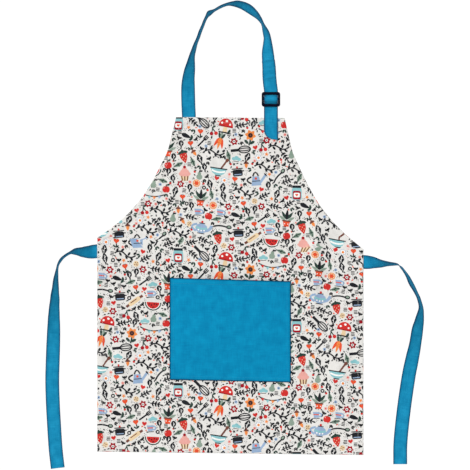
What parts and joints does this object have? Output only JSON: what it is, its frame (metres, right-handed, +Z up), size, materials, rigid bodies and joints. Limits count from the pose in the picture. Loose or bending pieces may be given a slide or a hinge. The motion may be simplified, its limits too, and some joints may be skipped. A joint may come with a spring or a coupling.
{
  "type": "kids apron",
  "caption": "Child's bib apron in printed cotton with a plain patch pocket, a buckled neck strap and waist ties, lying flat.",
  "frame": {"origin": "middle of the area that the lying apron covers, on the surface it lies on", "axes": "+X across the apron towards its right edge as seen from above, +Y from the hem towards the neck, +Z up off the surface, out of the printed face"},
  "size_m": [0.6968, 0.8614, 0.0255],
  "materials": {
    "printed_cotton": "plain-weave cotton, off-white ground with a small multicolour print",
    "blue_cotton": "plain blue cotton twill with matching topstitching",
    "black_plastic": "moulded black plastic, slightly glossy"
  },
  "bodies": {
    "root": {"apron_panel": "printed_cotton", "pocket": "blue_cotton", "neck_strap": "blue_cotton", "buckle_tab": "blue_cotton", "slide_buckle": "black_plastic", "tie_left": "blue_cotton", "tie_right": "blue_cotton"}
  },
  "joints": []
}
